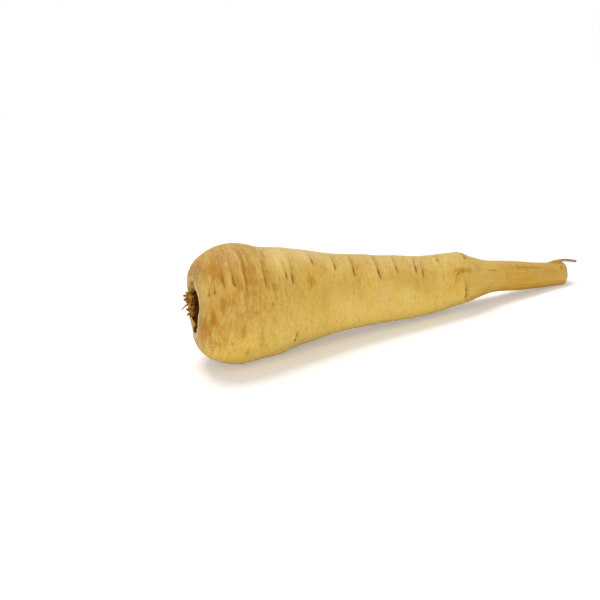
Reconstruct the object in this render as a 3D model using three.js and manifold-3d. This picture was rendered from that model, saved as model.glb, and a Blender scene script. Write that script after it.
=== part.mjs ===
// A washed parsnip lying on its side: the taproot, with a dished crown, a cut tail and one fine
// side root, and the dry leaf-stalk stubs that were left in the crown when it was topped.
// Millimetres, +Z up. The crown faces -X, the tail points to +X, and the root lies on z = 0.

import * as THREE from 'three';
import { mergeVertices } from 'three/addons/utils/BufferGeometryUtils.js';
import Module from 'manifold-3d';

const wasm = await Module();
wasm.setup();

// ---------------------------------------------------------------- driving dimensions

// The taproot, measured along its own axis from the crest of the rim round the crown.
const ROOT_LENGTH = 208.7;
const ROOT_SIDES = 40;
const PROFILE_STEPS = 4; // steps between the profile's points
const RIM_RADIUS = 15.5;
const SHOULDER_RADIUS = 32.5;
const SHOULDER_AT = 22;
const HOLLOW_DEPTH = 9.5;
const HOLLOW_FLOOR_RADIUS = 8.5;
const HOLLOW_MOUTH_RADIUS = 13.4;
const MOUTH_DEPTH = 1.2; // the rim's inner edge, below its crest
const TAIL_RADIUS = 6.1;
const CUT_ROUNDING = 1.2; // round edge of the cut tail
const CUT_SLANT = 0.03; // how far the cut leans, per millimetre of height
const CUT_SLANT_REACH = 8; // the stretch before the cut that leans with it

// The radius behind the shoulder: [distance from the rim, radius].
const TAPER = [
  [28, 32.1], [36, 30.5], [46, 28.9], [56, 26.5], [64, 25], [74, 22.3], [90, 19.9],
  [112, 17.6], [132, 15.7], [142, 14.7], [148, 13.9], [153, 12.4], [159, 10.3], [166, 8.5],
  [182, 7.7], [196, 6.6],
];

// The root's centre line: [along X from the rim, sideways, height].
const CENTRE_LINE = [
  [0, 0, 36.1], [25, 0.2, 32], [38, 0.5, 29.9], [50, 0.8, 29.1], [74, 0.9, 26.3],
  [99, 0.2, 22.6], [124, -0.7, 19.1], [146, -0.8, 18.1], [158, -0.3, 15.7], [168, 0.1, 14.1],
  [182, 0.6, 10.9], [207.6, 1.2, 5.8],
];
const PRESSED_FLAT = 1.1; // depth of the flats that the root lies on, under shoulder and tail

// Slow swellings and dents. size: part of the radius. lobes: waves round the root.
// along: millimetres of length that turn the wave by a radian.
const SWELLINGS = [
  { size: 0.008, lobes: 2, along: 31, phase: -2.4 },
  { size: 0.007, lobes: 3, along: -19, phase: 2.9 },
  { size: 0.004, lobes: 5, along: 12, phase: 0 },
];
// The rim's crest dips and rises round the crown, by size, and less and less behind it.
const RIM_WAVES = [
  { size: 0.5, lobes: 2, phase: 0.4 },
  { size: 0.35, lobes: 5, phase: 1.9 },
];
const RIM_WAVE_REACH = 6;
// On one side the crest also lies lower, most of all at this turn from the top towards -Y.
const RIM_DIP = { depth: 1.9, turn: 85 };

// The fine side root: it leaves the top of the tail and runs on past the cut.
// [distance from the cut, sideways, height over the tail's centre line]
const ROOTLET_PATH = [
  [-16.5, 0.6, 5.6], [-13, 0.5, 7], [-9.5, 0.4, 8], [-6, 0.2, 8.5], [-2.5, -0.1, 8.4],
  [1, -0.4, 7.9], [6.4, -0.6, 6],
];
const ROOTLET_RADIUS = 0.85;
const ROOTLET_TIP_RADIUS = 0.5;
const ROOTLET_SIDES = 8;
const ROOTLET_STEPS = 10;

// The stalk stubs stand round a heart, a little off the middle of the crown.
const HEART_OFFSET = new THREE.Vector3(-2, -0.3, 0);
const STUB_BASE = -9; // their feet, just clear of the hollow's floor
const STUB_SIDES = 16;
const HEART = { width: 4.6, thick: 4.2, top: -2.4 };
// A stub's outline: [part of its half width, part of its height], up from its foot.
const STUB_OUTLINE = [
  [0, 0], [0.8, 0], [1, 0.06], [0.97, 0.35], [0.9, 0.65], [0.8, 0.93], [0.55, 1], [0, 1],
];
const TORN = { depth: 0.09, waves: 1.7 }; // its torn top: part of the height, waves across it

// around: degrees round the heart, from the top of the crown towards -Y.
// out: distance from the heart's axis. top: over the rim's crest. lean: degrees outwards.
const STALK_STUBS = {
  stalk_stub_inner_1: { around: 345, out: 4.1, width: 5.4, thick: 1.5, top: -1.6, lean: 5 },
  stalk_stub_inner_2: { around: 105, out: 4.1, width: 5.2, thick: 1.5, top: -3.4, lean: 4 },
  stalk_stub_inner_3: { around: 218, out: 4.1, width: 5.6, thick: 1.5, top: -0.2, lean: 5 },
  stalk_stub_outer_1: { around: 290, out: 6.8, width: 7, thick: 1.4, top: 1.8, lean: 8 },
  stalk_stub_outer_2: { around: 224, out: 6.8, width: 6.2, thick: 1.4, top: 0.9, lean: 6 },
  stalk_stub_outer_3: { around: 142, out: 6.8, width: 6.2, thick: 1.4, top: -3, lean: 3 },
  stalk_stub_outer_4: { around: 68, out: 6.8, width: 6.6, thick: 1.4, top: -4, lean: 3 },
  stalk_stub_outer_5: { around: 356, out: 6.8, width: 6.4, thick: 1.4, top: -1.8, lean: 4 },
};

// ---------------------------------------------------------------- materials

const skin = new THREE.MeshStandardMaterial({ color: 0xd9b96a, roughness: 0.5, metalness: 0 });
const dryStalk = new THREE.MeshStandardMaterial({ color: 0x9a7444, roughness: 0.85, metalness: 0 });
const dryHeart = new THREE.MeshStandardMaterial({ color: 0x5b3b22, roughness: 0.9, metalness: 0 });

// ---------------------------------------------------------------- helpers

const UP = new THREE.Vector3(0, 0, 1);
const vector = (point) => new THREE.Vector3(...point);

// A closed turned solid about the Y axis, as bare positions with its shared corners merged.
function turned(profile, sides) {
  const geometry = new THREE.LatheGeometry(profile, sides);
  geometry.deleteAttribute('normal');
  geometry.deleteAttribute('uv');
  return mergeVertices(geometry);
}

// Moves every corner of a geometry to the place that move(corner) gives it.
function reshape(geometry, move) {
  const corners = geometry.attributes.position;
  const corner = new THREE.Vector3();
  for (let i = 0; i < corners.count; i += 1) {
    corner.fromBufferAttribute(corners, i);
    move(corner);
    corners.setXYZ(i, corner.x, corner.y, corner.z);
  }
  return geometry;
}

// Lays a solid turned about Y along a curve, with Y as the distance from the curve's start.
function layAlong(curve, geometry) {
  const length = curve.getLength();
  return reshape(geometry, (corner) => {
    const onCurve = THREE.MathUtils.clamp(corner.y / length, 0, 1);
    const along = curve.getTangentAt(onCurve);
    const sideways = new THREE.Vector3().crossVectors(along, UP).normalize();
    const upwards = new THREE.Vector3().crossVectors(sideways, along);
    const { x, y, z } = corner;
    corner.copy(curve.getPointAt(onCurve)).addScaledVector(along, y - onCurve * length);
    corner.addScaledVector(sideways, x).addScaledVector(upwards, z);
  });
}

function solidOf(geometry) {
  const vertProperties = new Float32Array(geometry.attributes.position.array);
  const triVerts = new Uint32Array(geometry.index.array);
  return new wasm.Manifold(new wasm.Mesh({ numProp: 3, vertProperties, triVerts }));
}

function geometryOf(solid) {
  const { vertProperties, triVerts } = solid.getMesh();
  const geometry = new THREE.BufferGeometry();
  geometry.setAttribute('position', new THREE.BufferAttribute(vertProperties, 3));
  geometry.setIndex(new THREE.BufferAttribute(triVerts, 1));
  geometry.computeVertexNormals();
  return geometry;
}

function namedMesh(name, geometry, material) {
  const mesh = new THREE.Mesh(geometry, material);
  mesh.name = name;
  return mesh;
}

// ---------------------------------------------------------------- taproot

const centreLine = new THREE.CatmullRomCurve3(CENTRE_LINE.map(vector));

// Radius against distance from the rim: out of the hollow, over the rim, and down to the tail.
function rootProfile() {
  const outline = new THREE.Path();
  outline.moveTo(0, HOLLOW_DEPTH);
  outline.lineTo(HOLLOW_FLOOR_RADIUS / 2, HOLLOW_DEPTH);
  outline.lineTo(HOLLOW_FLOOR_RADIUS, HOLLOW_DEPTH);
  // The hollow's wall is a quarter of an ellipse, from the floor out to the mouth.
  outline.absellipse(
    HOLLOW_FLOOR_RADIUS, MOUTH_DEPTH,
    HOLLOW_MOUTH_RADIUS - HOLLOW_FLOOR_RADIUS, HOLLOW_DEPTH - MOUTH_DEPTH,
    Math.PI / 2, 0, true, 0,
  );
  outline.quadraticCurveTo(HOLLOW_MOUTH_RADIUS, 0, RIM_RADIUS, 0);
  // The shoulder is a quarter of an ellipse, from the rim's crest out to the thickest place.
  outline.absellipse(
    RIM_RADIUS, SHOULDER_AT, SHOULDER_RADIUS - RIM_RADIUS, SHOULDER_AT, -Math.PI / 2, 0, false, 0,
  );
  const taper = TAPER.map(([distance, radius]) => new THREE.Vector2(radius, distance));
  taper.push(new THREE.Vector2(TAIL_RADIUS, ROOT_LENGTH - CUT_ROUNDING));
  outline.splineThru(taper);
  outline.quadraticCurveTo(TAIL_RADIUS, ROOT_LENGTH, TAIL_RADIUS - CUT_ROUNDING, ROOT_LENGTH);
  outline.lineTo(0, ROOT_LENGTH);
  return outline.getPoints(PROFILE_STEPS);
}

// The root's radius at a place, over that of the even profile.
function swelling(distance, angle) {
  return SWELLINGS.reduce(
    (sum, { size, lobes, along, phase }) => (
      sum + size * Math.sin(lobes * angle + distance / along + phase)
    ),
    1,
  );
}

// How far the rim's waves and the leaning cut move a place along the root.
function shiftAlong(distance, angle, height) {
  const crest = RIM_WAVES.reduce(
    (sum, { size, lobes, phase }) => sum + size * Math.sin(lobes * angle + phase), 0,
  );
  const facing = (1 + Math.cos(angle - THREE.MathUtils.degToRad(RIM_DIP.turn))) / 2;
  const nearCrown = Math.exp(-distance / RIM_WAVE_REACH);
  const nearCut = THREE.MathUtils.smoothstep(
    distance, ROOT_LENGTH - CUT_SLANT_REACH, ROOT_LENGTH,
  );
  return (crest + RIM_DIP.depth * facing ** 2) * nearCrown + CUT_SLANT * height * nearCut;
}

function taproot() {
  const body = reshape(turned(rootProfile(), ROOT_SIDES), (corner) => {
    const angle = Math.atan2(corner.x, corner.z);
    const widened = swelling(corner.y, angle);
    corner.y += shiftAlong(corner.y, angle, corner.z);
    corner.x *= widened;
    corner.z *= widened;
  });
  layAlong(centreLine, body);
  reshape(body, (corner) => {
    corner.z = Math.max(corner.z - PRESSED_FLAT, 0);
  });
  return geometryOf(solidOf(body).add(solidOf(rootlet())));
}

// A fine tapering side root with a round tip, rooted inside the tail.
function rootlet() {
  const tail = centreLine.getPoint(1);
  const path = new THREE.CatmullRomCurve3(
    ROOTLET_PATH.map(([fromCut, sideways, height]) => new THREE.Vector3(
      tail.x + fromCut, tail.y + sideways, tail.z - PRESSED_FLAT + height,
    )),
  );
  const tipStart = path.getLength() - ROOTLET_TIP_RADIUS;
  const outline = new THREE.Path();
  outline.moveTo(0, 0);
  for (let step = 0; step < ROOTLET_STEPS; step += 1) {
    const along = step / ROOTLET_STEPS;
    const radius = THREE.MathUtils.lerp(ROOTLET_RADIUS, ROOTLET_TIP_RADIUS, along);
    outline.lineTo(radius, along * tipStart);
  }
  outline.absarc(0, tipStart, ROOTLET_TIP_RADIUS, 0, Math.PI / 2, false);
  return layAlong(path, turned(outline.getPoints(1), ROOTLET_SIDES));
}

// ---------------------------------------------------------------- stalk stubs

// A dry stalk base, standing on the crown's hollow: a flattened rod, channelled towards the
// heart when it stands some way out from it, narrower at its torn top than at its foot.
function stalkStub({ width, thick, top, out = Infinity }) {
  const height = top - STUB_BASE;
  const outline = STUB_OUTLINE.map(([wide, high]) => new THREE.Vector2(wide, high * height));
  return reshape(turned(outline, STUB_SIDES), (corner) => {
    const across = corner.x * width / 2;
    const kept = 1 - TORN.depth * (1 + Math.sin(TORN.waves * across + width));
    const channel = across ** 2 / (2 * out);
    corner.set(across, -corner.z * thick / 2 - channel, STUB_BASE + corner.y * kept);
  });
}

function placedStub(name, stub) {
  const mesh = namedMesh(name, stalkStub(stub), dryStalk);
  const around = THREE.MathUtils.degToRad(stub.around);
  const lean = THREE.MathUtils.degToRad(stub.lean);
  mesh.position.set(Math.sin(around) * stub.out, Math.cos(around) * stub.out, 0);
  mesh.rotation.set(-lean, 0, -around, 'ZXY');
  return mesh;
}

// The crown's own frame: its +Z points out of the crown, and its +Y is uppermost.
function crownGroup() {
  const crown = new THREE.Group();
  const outwards = centreLine.getTangentAt(0).negate();
  const across = new THREE.Vector3().crossVectors(UP, outwards).normalize();
  const upwards = new THREE.Vector3().crossVectors(outwards, across);
  crown.quaternion.setFromRotationMatrix(new THREE.Matrix4().makeBasis(across, upwards, outwards));
  crown.position.copy(centreLine.getPoint(0)).addScaledVector(UP, -PRESSED_FLAT);
  const cluster = new THREE.Group();
  cluster.position.copy(HEART_OFFSET);
  cluster.add(namedMesh('crown_heart', stalkStub(HEART), dryHeart));
  for (const [name, stub] of Object.entries(STALK_STUBS)) cluster.add(placedStub(name, stub));
  crown.add(cluster);
  return crown;
}

// ---------------------------------------------------------------- the parsnip

const parsnip = new THREE.Group();
parsnip.add(namedMesh('taproot', taproot(), skin), crownGroup());

// The part's origin is the middle of its box, on the surface that it lies on.
const middle = new THREE.Box3().setFromObject(parsnip, true).getCenter(new THREE.Vector3());
parsnip.position.set(-middle.x, -middle.y, 0);

export default parsnip;
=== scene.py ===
"""One parsnip lying on a pale floor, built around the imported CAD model.

The root's numbers are in millimetres and turn into metres where a mesh is made; the stage's are
in metres. A place on the root is (along, turn): millimetres along its axis from the crown's rim,
and degrees round it from the top towards -Y, where the camera stands.
"""

import math
from functools import partial

import bpy
import numpy as np
from mathutils import Matrix, Vector
from mathutils.bvhtree import BVHTree


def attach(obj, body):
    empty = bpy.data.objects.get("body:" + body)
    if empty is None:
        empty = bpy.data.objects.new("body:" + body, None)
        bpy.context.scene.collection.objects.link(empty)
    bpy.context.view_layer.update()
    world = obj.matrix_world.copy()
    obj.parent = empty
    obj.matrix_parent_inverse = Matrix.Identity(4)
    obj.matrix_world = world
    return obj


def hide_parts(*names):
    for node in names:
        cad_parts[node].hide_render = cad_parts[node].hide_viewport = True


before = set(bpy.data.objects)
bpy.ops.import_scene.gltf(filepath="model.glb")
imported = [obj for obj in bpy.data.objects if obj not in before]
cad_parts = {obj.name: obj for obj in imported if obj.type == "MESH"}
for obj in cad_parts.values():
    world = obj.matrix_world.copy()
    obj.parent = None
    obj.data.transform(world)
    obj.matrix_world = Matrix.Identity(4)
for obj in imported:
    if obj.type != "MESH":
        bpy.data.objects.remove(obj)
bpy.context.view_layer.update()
MM = 0.001
SEED = 11

# ---- the root's numbers

# The root's centre line as in the CAD source, from the rim of the crown to the cut at the thin
# end, and where that source's own zero lies in the shared frame.
CENTRE_LINE = [
    (0, 0, 36.1), (25, 0.2, 32), (38, 0.5, 29.9), (50, 0.8, 29.1), (74, 0.9, 26.3),
    (99, 0.2, 22.6), (124, -0.7, 19.1), (146, -0.8, 18.1), (158, -0.3, 15.7), (168, 0.1, 14.1),
    (182, 0.6, 10.9), (207.6, 1.2, 5.8),
]
SOURCE_ZERO = (-105.815, -0.152, -1.1)
AXIS_STEP = 0.5
AXIS_SOFTNESS = 5.0
AXIS_RUN_ON = 30.0      # the line runs straight on past both ends

# The fine side root's line: from the cut along X, sideways, and height over the tail's centre
# line. A web of this height joins it to the tail, up to a few millimetres before the cut.
ROOTLET_WEB = 1.7
ROOTLET_PATH = [
    (-16.5, 0.6, 5.6), (-13, 0.5, 7), (-9.5, 0.4, 8), (-6, 0.2, 8.5), (-2.5, -0.1, 8.4),
    (1, -0.4, 7.9), (6.4, -0.6, 6),
]
ROOTLET_RADIUS, ROOTLET_THINNING = 1.05, 0.22

# The stalk stubs stand round a heart in the crown, as in the CAD source: degrees round it, out
# from its axis, width, thickness, top over the rim, lean outwards. Their feet are at STUB_BASE.
HEART_OFFSET = (-2.0, -0.3, 0.0)
STUB_BASE = -9.0
STUBS = {
    "crown_heart": (0, 0, 4.6, 4.2, -2.4, 0),
    "stalk_stub_inner_1": (345, 4.1, 5.4, 1.5, -1.6, 5),
    "stalk_stub_inner_2": (105, 4.1, 5.2, 1.5, -3.4, 4),
    "stalk_stub_inner_3": (218, 4.1, 5.6, 1.5, -0.2, 5),
    "stalk_stub_outer_1": (290, 6.8, 7, 1.4, 1.8, 8),
    "stalk_stub_outer_2": (224, 6.8, 6.2, 1.4, 0.9, 6),
    "stalk_stub_outer_3": (142, 6.8, 6.2, 1.4, -3, 3),
    "stalk_stub_outer_4": (68, 6.8, 6.6, 1.4, -4, 3),
    "stalk_stub_outer_5": (356, 6.8, 6.4, 1.4, -1.8, 4),
}
# A stub's body has this many points round it and rows of them. It narrows by this share towards
# its torn top, and this many fibres lie on it.
BODY_SIDES = 64
BODY_ROWS = 42
NARROWING = 0.16
FIBRES = 5
FIBRE_POINTS = 20
# Loose fibres and scraps, each with the stub it hangs on: radius at its foot and tip, how flat
# it is, tone, and its line in the crown's frame (towards -Y, upwards, out of the crown).
WISPS = [
    ("stalk_stub_outer_1", 0.36, 0.26, 1, -0.5,
     [(-7.6, 5, 0.6), (-7.4, 6, 2.2), (-5, 6.9, 1.8), (-0.3, 7, 0.9), (3.4, 6.2, -0.9)]),
    ("stalk_stub_outer_1", 0.8, 0.38, 0.7, 1,
     [(-8.2, -0.8, -0.5), (-8.8, -1.8, 1.8), (-9.6, -3, 3.2), (-10.6, -4.6, 4.2)]),
    ("stalk_stub_outer_1", 0.9, 0.5, 0.5, 0.8,
     [(-7.6, 0.2, -1), (-8.2, -0.4, 0.8), (-8.6, -1.6, 2.4)]),
    ("stalk_stub_inner_1", 1, 0.55, 0.4, 1.8,
     [(-3.4, 4.4, -1.6), (-3.3, 5.2, 0.2), (-3.1, 5.9, 1.9)]),
    ("stalk_stub_outer_2", 0.8, 0.45, 0.5, 1,
     [(-6.6, -5.6, -1), (-7.2, -6.2, 0.8), (-7.4, -7, 1.9)]),
]
WISP_POINTS = 26

# The root's outline is measured with rings of rays from outside: both end faces along the axis
# out to a radius, and the sides between them, from a margin behind each face.
PROBE_RAYS = 48
FACE_START, SIDE_START = 15.0, 60.0
CROWN_RADIUS, CROWN_STEP = 22.0, 0.25
CUT_RADIUS, CUT_STEP = 5.6, 0.2
CROWN_MARGIN, CUT_MARGIN = 0.4, 0.3
SIDE_STEP = 0.5
OUTLINE_STEP = 0.1

# Then each point of the skin's grid is found with a ray from a little inside the mean outline.
# A hit further off than the limit isn't the root's own surface.
COLUMNS = 192
ROW_STEP = 0.41
PROBE_DEPTH = 3.0
PROBE_LIMIT = 2.5
# Over this last length of the tail, what differs by more than the height from the median of the
# columns on both sides is the rootlet.
ROOTLET_LENGTH = 24
ROOTLET_HEIGHT = 0.2
ROOTLET_COLUMNS = 14

# Smoothing, in steps or rows, at the root's two ends and along its taper; in columns round it.
OUTLINE_SOFTNESS = (4, 32)
SKIN_SOFTNESS = (2, 7)
ROUND_SOFTNESS = 3.2

MATT_SHARE = 0.42       # a face is matt where its corners' average is over this
CM = 0.1                # the skin's own place and radius reach the materials in centimetres

# The tail starts at the neck, where a knob stands on top. It is a little fuller than the CAD's.
NECK = 150.0
KNOB = 149.7
TAIL_SWELL = 0.26

# Layers of soft random relief: height in mm, a cell's length in mm, cells round the root, seed.
LUMPS = [(0.26, 17, 7, 1), (0.14, 7, 13, 2)]
RINGS = [(0.085, 1.9, 7, 3), (0.06, 1.1, 16, 4)]
RING_STRENGTH = [(0.45, 24, 5, 5)]
STRANDS = [(0.05, 16, 22, 6), (0.02, 6, 48, 7)]
COLLAR = [(0.16, 9, 30, 8), (0.10, 3, 52, 9)]
FOLDS = [(0.42, 7, 28, 10), (0.2, 1.2, 40, 11)]
CUT_GRAIN = [(0.16, 0.9, 24, 12)]

# Creases on the near side, most of them running down from over the top: (along, turn) at each
# end, depth, how dark the second end is.
CREASES = [
    (12, 10, 14.3, 60, 0.36, 0.7),
    (18.2, 20, 19.2, 57, 0.38, 0.75),
    (18.9, 46, 19.7, 58, 0.38, 1.7),
    (25.4, 14, 25.8, 61, 0.38, 0.45),
    (25.1, 57, 25.5, 63, 0.2, 0.8),
    (36.6, 18, 36.3, 62, 0.26, 0.55),
    (49.2, 26, 48.6, 55, 0.42, 0.65),
    (52.6, 20, 52, 61, 0.48, 1),
    (62.3, -4, 65.1, 37, 0.45, 0.68),
    (75.8, 2, 76.7, 43, 0.42, 0.75),
    (85.4, -2, 86.9, 53, 0.42, 0.9),
    (98.7, -12, 100.3, 60, 0.42, 1.1),
    (109.5, -6, 111, 51, 0.36, 0.45),
    (122.3, -9, 121.1, 52, 0.38, 0.9),
    (125.8, 2, 124.6, 62, 0.32, 0.5),
    (135.8, -8, 135, 30, 0.3, 0.6),
    (148.2, -14, 149.2, 30, 0.36, 0.5),
    (147.2, 72, 147.6, 128, 0.36, 1),
    (147.3, 76, 147.7, 108, 0.22, 0.9),
    (141.4, 79, 144.8, 57, 0.3, 0.8),
    (51.8, 114, 49.8, 133, 0.36, 1),
    (51.8, 113, 51, 124, 0.16, 0.7),
    (171.6, 52, 172.4, 92, 0.16, 0.1),
    (5.6, 52, 5.9, 64, 0.24, 1.1),
    (8.7, 49, 9.1, 63, 0.28, 1.2),
    (7.4, 116, 8.6, 125, 0.2, 0.45),
    (16.2, 108, 16.7, 115, 0.2, 0.55),
    (60.1, 104, 60.2, 111, 0.14, 0.35),
]

# Rows of creases on the sides not in the photograph: turn of each row's middle, and their end.
HIDDEN_ROWS = (168, 232, 304)
HIDDEN_END = 158

# Patches on the skin: orange-brown stains, pale pockets, creamy places, nearly white gleams that
# are painted highlights, warm gold ones, wan ones of a greyer yellow, and grey-brown grime. Each
# has along, turn, half length along and half length round in mm, strength.
PATCHES = {
    "stain": [
        (10.2, 32, 4.4, 9.5, 0.85), (13.2, 41, 2.3, 6, 1.3), (7.6, 89, 1.4, 4.4, 1.55),
        (12, 76, 1.6, 5, 0.8), (17.5, 71, 3.6, 5, 0.62), (25, 34, 2, 10, 0.65),
        (37.6, 40, 2.2, 12, 0.65), (41, 58, 3, 5, 0.5), (61.8, 59, 3.6, 5, 0.66),
        (38.8, 77, 1.3, 1.1, 1), (4.5, 102, 3, 8, 0.95), (8.6, 92, 3, 6, 0.55),
        (6.6, 93, 1.8, 3.5, 1), (14.5, 71.5, 6.5, 2.2, 0.75), (3.8, 116, 2.2, 4, 0.85),
        (12.4, 41, 0.9, 8, 0.9), (24.4, 24, 1, 5, 1.3), (22.8, 99, 1.6, 5, 0.9),
        (24.9, 38, 1.1, 6, 1.4), (12.3, 71, 1.5, 3, 0.9), (38.4, 17, 1.2, 4.5, 0.95),
        (21.4, 59, 1.6, 1, 0.8), (9.4, 75, 2.8, 4.5, 0.5), (15.2, 30, 1.6, 4, 0.55),
        (6.5, 123, 3, 6, 0.6), (1.8, 120, 2.5, 6, 0.7), (8.2, 40, 1.2, 4, 0.45),
        (21.5, 38, 2, 7, 0.45), (29.5, 88, 5, 6, 0.22), (2, 106, 2, 7, 0.8),
        (25, 124, 1.2, 3.5, 0.5), (9, 112, 6, 9, 0.6), (10, 130, 6, 8, 0.2),
        (0.6, -24, 2.4, 6, 0.5), (28, 84, 1.2, 5, 0.35), (147.2, 56, 6.2, 1.5, 0.74),
        (184, 40, 12, 1, 0.8), (164.5, 52, 2.8, 0.5, 0.95), (155, 44, 3, 1.2, 0.45),
        (205.6, 42, 1.2, 1.6, 0.7), (33, 118, 3, 6, 0.3), (32, 8, 4, 7, 0.45),
        (14, 124, 2.2, 3, 0.45), (7, 122, 1.6, 4, 0.55), (95, 68, 3, 4, 0.25),
    ],
    "pale": [
        (46, 30, 4.2, 5, 0.9), (21.3, 42, 1.6, 10, 0.2), (9.5, 72, 2, 7, 0.45),
        (74, 84, 9, 10, 0.4), (26, 112, 6, 9, 0.35), (20.5, 8, 3, 8, 0.3),
        (16.3, 51, 1.5, 5, 0.35), (112, 88, 8, 7, 0.5), (102, 80, 4, 4.5, 0.55),
    ],
    "cream": [
        (159, 44, 12, 10, 0.8), (33, 138, 13, 7, 0.5),
    ],
    "gleam": [
        (49, 15, 6, 9, 1.1), (61, 12, 8, 8, 1.4), (102, 82, 4, 7, 0.6), (87, 103, 7, 5, 0.45),
        (113, 90, 3.5, 5, 0.5),
    ],
    "gold": [
        (25, 117, 7, 7, 0.55), (17, 136, 8, 7, 0.7), (61.8, 60, 3.6, 5, 0.4),
        (95, 70, 4, 5, 0.45),
    ],
    "wan": [
        (3.4, 56, 4.2, 9, 0.95), (8, 72, 2.5, 5, 0.5), (10, 54, 2.2, 5, 0.6),
        (16.2, 53, 1.6, 6, 0.6), (12.6, 60, 2.4, 4, 0.5),
    ],
    "grime": [
        (2.2, 12, 2.6, 8, 1), (1.6, -20, 1.8, 5, 0.8), (5.5, 24, 1.8, 4, 0.5),
        (164.4, 52, 2.6, 0.45, 1),
    ],
}

# Where the root is a little fuller or slimmer than the CAD's sections: along, turn, half length
# in mm, half width in degrees, height in mm.
SWELLS = [
    (57, -18, 9, 30, 0.22), (94.5, -18, 5, 30, 0.4), (133, -18, 10, 30, -0.4),
    (155, -18, 4, 30, -0.3), (122, 162, 13, 30, 0.42), (153, 162, 4.5, 30, 0.55),
]

# ---- small helpers


def smooth(low, high, x):
    """0 below low and 1 above high, with a soft change; low may be the larger."""
    t = np.clip((np.asarray(x, float) - low) / (high - low), 0.0, 1.0)
    return t * t * (3.0 - 2.0 * t)


def hump(x, width):
    """A bell: 1 at 0, and 0.37 at the width."""
    return np.exp(-((x / width) ** 2))


def turned_from(turn, centre):
    """Degrees from centre, between -180 and 180."""
    return (turn - centre + 180.0) % 360.0 - 180.0


def facing(turn, centre, half):
    """A hump round that turn, with its half width in degrees."""
    return hump(turned_from(turn, centre), half)


def unit(vectors):
    return vectors / np.linalg.norm(vectors, axis=-1, keepdims=True)


def travelled(points):
    """How far along a line each of its points lies."""
    return np.concatenate([[0], np.cumsum(np.linalg.norm(np.diff(points, axis=0), axis=1))])


def read_at(where, marks, columns):
    """The columns, given at the marks, read in between."""
    return np.stack([np.interp(where, marks, column) for column in columns.T], -1)


def soften(values, sigma, closed=False):
    """Gaussian smoothing down the first axis; open ends carry on as they were heading."""
    reach = int(math.ceil(3 * sigma))
    kernel = np.exp(-0.5 * (np.arange(-reach, reach + 1) / sigma) ** 2)
    kernel /= kernel.sum()
    if closed:
        padded = np.concatenate([values[-reach:], values, values[:reach]])
    else:
        before = 2 * values[0] - values[1 : reach + 1][::-1]
        after = 2 * values[-1] - values[-reach - 1 : -1][::-1]
        padded = np.concatenate([before, values, after])
    out = np.zeros_like(values)
    for k, weight in enumerate(kernel):
        out += weight * padded[k : k + len(values)]
    return out


def ring_noise(along, turn, cell, cells, seed):
    """Soft random values from -1 to 1 over the root's skin: cell mm long, cells round it."""
    rng = np.random.default_rng(SEED * 1000 + seed)
    x = (along - along.min()) / cell + rng.uniform()
    y = ((turn / 360.0 + rng.uniform()) % 1.0) * cells
    table = rng.uniform(-1, 1, (int(x.max()) + 3, cells))
    i, j = np.floor(x).astype(int), np.floor(y).astype(int)
    fx, fy = x - i, y - j
    fx, fy = fx * fx * (3 - 2 * fx), fy * fy * (3 - 2 * fy)
    j0, j1 = j % cells, (j + 1) % cells
    low = table[i, j0] * (1 - fy) + table[i, j1] * fy
    high = table[i + 1, j0] * (1 - fy) + table[i + 1, j1] * fy
    return low * (1 - fx) + high * fx


def linked(made):
    bpy.context.scene.collection.objects.link(made)
    return made


def new_object(name, points, faces, material, attributes, lining=None):
    """A smooth-shaded mesh object from points in millimetres; lining covers what is matt."""
    mesh = bpy.data.meshes.new(name)
    mesh.from_pydata([tuple(p) for p in np.asarray(points) * MM], [], faces)
    mesh.polygons.foreach_set("use_smooth", [True] * len(mesh.polygons))
    for key, values in attributes.items():
        kind, field = ("FLOAT_VECTOR", "vector") if values.ndim == 2 else ("FLOAT", "value")
        made = mesh.attributes.new(key, kind, "POINT")
        made.data.foreach_set(field, values.astype(np.float32).ravel())
    mesh.materials.append(material)
    if lining is not None:
        mesh.materials.append(lining)
        matt = attributes["matt"]
        lined = [int(sum(matt[k] for k in face) > MATT_SHARE * len(face)) for face in faces]
        mesh.polygons.foreach_set("material_index", lined)
    mesh.update()
    return linked(bpy.data.objects.new(name, mesh))


# ---- the axis


class Axis:
    """The root's own line, smoothed and run on straight past both ends."""

    def __init__(self):
        points = np.array(CENTRE_LINE, float) + SOURCE_ZERO
        marks = travelled(points)
        self.length = marks[-1]
        self.at = np.arange(-AXIS_RUN_ON, self.length + AXIS_RUN_ON, AXIS_STEP)
        line = read_at(self.at, marks, points)
        first, last = unit(np.diff(points, axis=0))[[0, -1]]
        before, after = self.at < 0, self.at > self.length
        line[before] = points[0] + self.at[before, None] * first
        line[after] = points[-1] + (self.at[after, None] - self.length) * last
        self.line = soften(line, AXIS_SOFTNESS / AXIS_STEP)
        self.ahead = unit(np.gradient(self.line, axis=0))

    def outward(self, along, turn):
        """Axis point, direction ahead, and direction straight out at that turn."""
        point = read_at(along, self.at, self.line)
        ahead = unit(read_at(along, self.at, self.ahead))
        side = unit(np.cross(ahead, [0.0, 0.0, 1.0]))
        angle = np.radians(turn)[..., None]
        return point, ahead, np.cos(angle) * np.cross(side, ahead) + np.sin(angle) * side


def tree_of(node):
    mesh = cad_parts[node].data
    points = [v.co / MM for v in mesh.vertices]
    return BVHTree.FromPolygons(points, [tuple(p.vertices) for p in mesh.polygons])


def distances(tree, starts, directions):
    """How far each ray goes before it meets the tree, or nan where it misses."""
    found = np.full(len(starts), np.nan)
    for k, (start, direction) in enumerate(zip(starts, directions)):
        hit = tree.ray_cast(Vector(start), Vector(direction))
        if hit[0] is not None:
            found[k] = hit[3]
    return found


# ---- the root's mesh


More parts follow.
